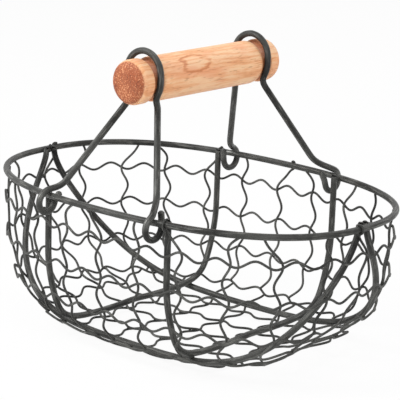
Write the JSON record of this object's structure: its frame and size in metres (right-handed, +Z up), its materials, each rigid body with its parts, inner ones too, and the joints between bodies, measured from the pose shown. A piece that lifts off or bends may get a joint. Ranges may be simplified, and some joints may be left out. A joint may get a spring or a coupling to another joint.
{
  "type": "wire onion basket",
  "caption": "Oval wire onion basket on a hooped frame, with a turned wooden grip held by two wire bails.",
  "frame": {"origin": "centre of the bounding box's bottom, on the plane that the floor wires stand on", "axes": "+X along the basket's long side, +Y across it towards the back bail, +Z up"},
  "size_m": [0.2964, 0.208, 0.208],
  "materials": {
    "coated steel": "satin dark green-grey coating",
    "coated netting wire": "satin dark green-grey coating",
    "beech": "oiled, fine grain along the axis"
  },
  "bodies": {
    "basket": {"rim": "coated steel", "cross_hoop_left": "coated steel", "cross_hoop_right": "coated steel", "long_hoop_front": "coated steel", "long_hoop_back": "coated steel", "netting_ring_1": "coated netting wire", "netting_ring_2": "coated netting wire", "netting_ring_3": "coated netting wire", "netting_ring_4": "coated netting wire", "netting_upright_01": "coated netting wire", "netting_upright_02": "coated netting wire", "netting_upright_03": "coated netting wire", "netting_upright_04": "coated netting wire", "netting_upright_05": "coated netting wire", "netting_upright_06": "coated netting wire", "netting_upright_07": "coated netting wire", "netting_upright_08": "coated netting wire", "netting_upright_09": "coated netting wire", "netting_upright_10": "coated netting wire", "netting_upright_11": "coated netting wire", "netting_upright_12": "coated netting wire", "netting_upright_13": "coated netting wire", "netting_upright_14": "coated netting wire", "netting_upright_15": "coated netting wire", "netting_upright_16": "coated netting wire", "netting_upright_17": "coated netting wire", "netting_upright_18": "coated netting wire", "netting_upright_19": "coated netting wire", "netting_upright_20": "coated netting wire", "netting_upright_21": "coated netting wire", "netting_upright_22": "coated netting wire", "netting_upright_23": "coated netting wire", "netting_upright_24": "coated netting wire", "netting_long_wire_1": "coated netting wire", "netting_long_wire_2": "coated netting wire", "netting_long_wire_3": "coated netting wire", "netting_long_wire_4": "coated netting wire", "netting_long_wire_5": "coated netting wire", "netting_cross_wire_1": "coated netting wire", "netting_cross_wire_2": "coated netting wire", "netting_cross_wire_3": "coated netting wire", "netting_cross_wire_4": "coated netting wire", "netting_cross_wire_5": "coated netting wire", "netting_cross_wire_6": "coated netting wire", "netting_cross_wire_7": "coated netting wire"},
    "bail_front": {"bail_front": "coated steel"},
    "bail_back": {"bail_back": "coated steel"},
    "grip": {"grip": "beech"}
  },
  "joints": [
    {"name": "bail_front_hinge", "type": "hinge", "parent": "basket", "child": "bail_front", "pos_m": [0, -0.09383, 0.10645], "axis": [1, 0, 0], "range_deg": [-5, 5]},
    {"name": "bail_back_hinge", "type": "hinge", "parent": "basket", "child": "bail_back", "pos_m": [0, 0.09383, 0.10645], "axis": [1, 0, 0], "range_deg": [-5.2, 5.2]},
    {"name": "grip_tilt", "type": "hinge", "parent": "bail_front", "child": "grip", "pos_m": [0, -0.0555, 0.18645], "axis": [1, 0, 0], "range_deg": [-8.6, 8.6]}
  ],
  "couplings": [
    {"joint": "bail_back_hinge", "follows": "bail_front_hinge", "ratio": 1},
    {"joint": "grip_tilt", "follows": "bail_front_hinge", "ratio": -1.6906}
  ]
}
